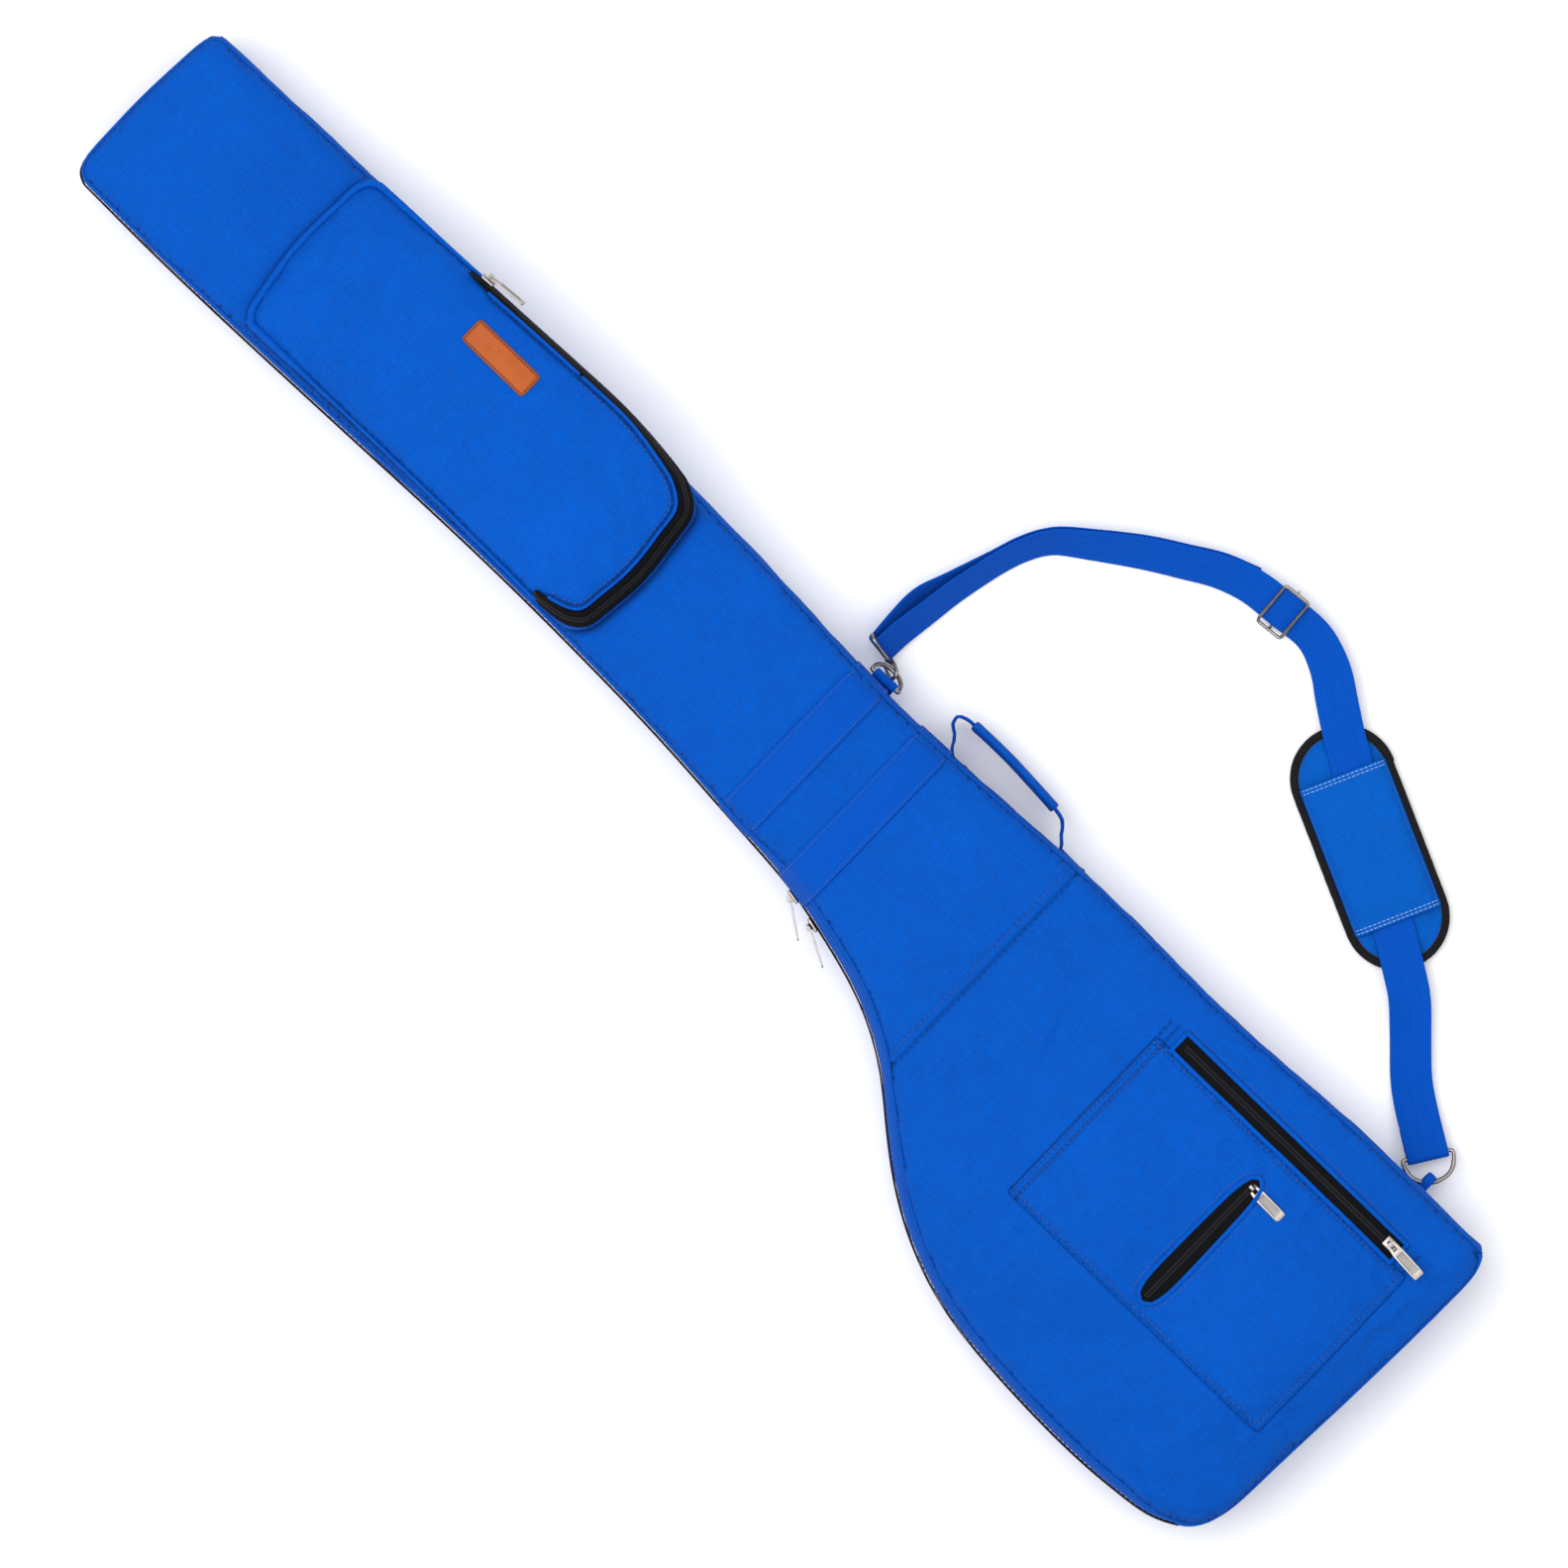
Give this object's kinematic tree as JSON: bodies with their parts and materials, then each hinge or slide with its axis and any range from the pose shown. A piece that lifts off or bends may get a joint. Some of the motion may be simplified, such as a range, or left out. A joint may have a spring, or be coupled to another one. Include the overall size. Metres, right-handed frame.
{
  "type": "padded gig bag",
  "caption": "Padded carrying bag with a long neck, a wide square end, two zipped compartments, a side handle and a hooked shoulder strap with a pad.",
  "frame": {"origin": "on the flat back face, at the middle of the bag's length", "axes": "+Y runs to the narrow end, +X to the side with the handle and strap, +Z out of the front"},
  "size_m": [0.5495, 1.2496, 0.1283],
  "materials": {
    "blue_fabric": "woven, slightly sheeny",
    "blue_webbing": "ribbed webbing",
    "foam": "matte foam",
    "lining": "brushed",
    "black_zip": "woven tape and coil",
    "black_binding": "woven binding",
    "nickel": "satin nickel",
    "leather": "smooth, waxed"
  },
  "bodies": {
    "root": {"back_panel": "blue_fabric", "back_foam": "foam", "back_lining": "lining", "lower_gusset_foam": "foam", "lower_gusset_lining": "lining", "lower_gusset_hinge_side": "blue_fabric", "lower_gusset_base": "blue_fabric", "lower_gusset_zip_side": "blue_fabric", "main_zip_lower": "black_zip", "d_ring_tab": "blue_webbing", "ring_tab_lower": "blue_webbing", "handle_root_upper": "blue_webbing", "handle_root_lower": "blue_webbing"},
    "front_shell": {"front_panel_neck": "blue_fabric", "front_panel_body": "blue_fabric", "front_foam": "foam", "front_lining": "lining", "upper_gusset_foam": "foam", "upper_gusset_lining": "lining", "upper_gusset_hinge_side": "blue_fabric", "upper_gusset_base": "blue_fabric", "upper_gusset_zip_side": "blue_fabric", "main_zip_upper": "black_zip", "band_1": "blue_webbing", "band_2": "blue_webbing", "pocket_gusset": "blue_fabric", "pocket_wall_upper": "blue_fabric", "pocket_zip_lower": "black_zip", "pocket_zip_fixed": "black_zip", "pocket_lid": "blue_fabric", "leather_patch": "leather", "lower_pocket_panel": "blue_fabric", "long_zip": "black_zip", "short_zip": "black_zip"},
    "pocket_flap": {"pocket_flap": "blue_fabric", "pocket_zip_flap": "black_zip"},
    "long_zip_slider": {"long_zip_slider": "nickel"},
    "long_zip_pull": {"long_zip_pull": "nickel"},
    "short_zip_slider": {"short_zip_slider": "nickel"},
    "short_zip_pull": {"short_zip_pull": "nickel"},
    "pocket_zip_slider": {"pocket_zip_slider": "nickel"},
    "pocket_zip_pull": {"pocket_zip_pull": "nickel"},
    "main_zip_upper_end_slider": {"main_zip_upper_end_slider": "nickel"},
    "main_zip_upper_end_pull": {"main_zip_upper_end_pull": "nickel"},
    "main_zip_lower_end_slider": {"main_zip_lower_end_slider": "nickel"},
    "main_zip_lower_end_pull": {"main_zip_lower_end_pull": "nickel"},
    "handle": {"handle_web": "blue_webbing", "handle_grip": "blue_webbing"},
    "strap": {"strap_web": "blue_webbing", "d_ring_lower": "nickel", "d_ring_upper": "nickel", "hook_eye": "nickel"},
    "snap_hook": {"snap_hook": "nickel"},
    "hook_gate": {"hook_gate": "nickel"},
    "tri_glide": {"tri_glide": "nickel"},
    "pad": {"pad_base": "blue_fabric", "pad_binding": "black_binding", "pad_sleeve": "blue_fabric"}
  },
  "joints": [
    {"name": "front_open", "type": "hinge", "parent": "root", "child": "front_shell", "pos_m": [0.077, 0, 0.046], "axis": [0, 1, 0], "range_deg": [0, 90]},
    {"name": "pocket_flap_open", "type": "hinge", "parent": "front_shell", "child": "pocket_flap", "pos_m": [0.008, 0.228, 0.125], "axis": [-0.8638, -0.5039, 0], "range_deg": [0, 55]},
    {"name": "long_zip_run", "type": "slide", "parent": "front_shell", "child": "long_zip_slider", "axis": [0, 1, -0.0041], "range_m": [0, 0.195]},
    {"name": "long_zip_pull_turn", "type": "hinge", "parent": "long_zip_slider", "child": "long_zip_pull", "pos_m": [0.03, -0.564, 0.10201], "axis": [-0.9976, 0.0698, 0], "range_deg": [-2, 110]},
    {"name": "short_zip_run", "type": "slide", "parent": "front_shell", "child": "short_zip_slider", "axis": [-1, 0, 0.0029], "range_m": [0, 0.096]},
    {"name": "short_zip_pull_turn", "type": "hinge", "parent": "short_zip_slider", "child": "short_zip_pull", "pos_m": [-0.009, -0.466, 0.10682], "axis": [-0.9996, 0.03, 0], "range_deg": [-2, 110]},
    {"name": "pocket_zip_run", "type": "slide", "parent": "front_shell", "child": "pocket_zip_slider", "axis": [0.0402, -0.9989, 0.022], "range_m": [0, 0.07]},
    {"name": "pocket_zip_pull_turn", "type": "hinge", "parent": "pocket_zip_slider", "child": "pocket_zip_pull", "pos_m": [0.07881, 0.35721, 0.1094], "axis": [-0.2997, 0, 0.954], "range_deg": [-3, 110]},
    {"name": "main_zip_upper_end_run", "type": "slide", "parent": "root", "child": "main_zip_upper_end_slider", "axis": [0.1218, 0.9926, 0], "range_m": [0, 0.04]},
    {"name": "main_zip_upper_end_pull_turn", "type": "hinge", "parent": "main_zip_upper_end_slider", "child": "main_zip_upper_end_pull", "pos_m": [-0.08857, -0.09494, 0.046], "axis": [0, 0, -1], "range_deg": [-3, 110]},
    {"name": "main_zip_lower_end_run", "type": "slide", "parent": "root", "child": "main_zip_lower_end_slider", "axis": [-0.2507, -0.9681, 0], "range_m": [0, 0.03]},
    {"name": "main_zip_lower_end_pull_turn", "type": "hinge", "parent": "main_zip_lower_end_slider", "child": "main_zip_lower_end_pull", "pos_m": [-0.09332, -0.11859, 0.046], "axis": [0, 0, -1], "range_deg": [-12, 50]},
    {"name": "handle_swing", "type": "hinge", "parent": "root", "child": "handle", "pos_m": [0.072, -0.1, 0.024], "axis": [-0.0139, 0.9999, 0], "range_deg": [-40, 10]},
    {"name": "strap_swing", "type": "hinge", "parent": "root", "child": "strap", "pos_m": [0.08, -0.559, 0.016], "axis": [-0.021, 0.9985, 0.0506], "range_deg": [-100, 0]},
    {"name": "hook_swivel", "type": "hinge", "parent": "strap", "child": "snap_hook", "pos_m": [0.08079, -0.02662, 0.02547], "axis": [-0.3343, -0.7633, 0.5528], "range_deg": [-8, 8]},
    {"name": "gate_press", "type": "hinge", "parent": "snap_hook", "child": "hook_gate", "pos_m": [0.07695, -0.0275, 0.02409], "axis": [-0.021, 0.9985, 0.0506], "range_deg": [0, 14], "stiffness_Nm_per_rad": 0.02},
    {"name": "tri_glide_run", "type": "slide", "parent": "strap", "child": "tri_glide", "axis": [0.0889, -0.996, 0], "range_m": [-0.004, 0.004]},
    {"name": "pad_run", "type": "slide", "parent": "strap", "child": "pad", "axis": [-0.5252, -0.851, 0], "range_m": [-0.008, 0.008]}
  ]
}
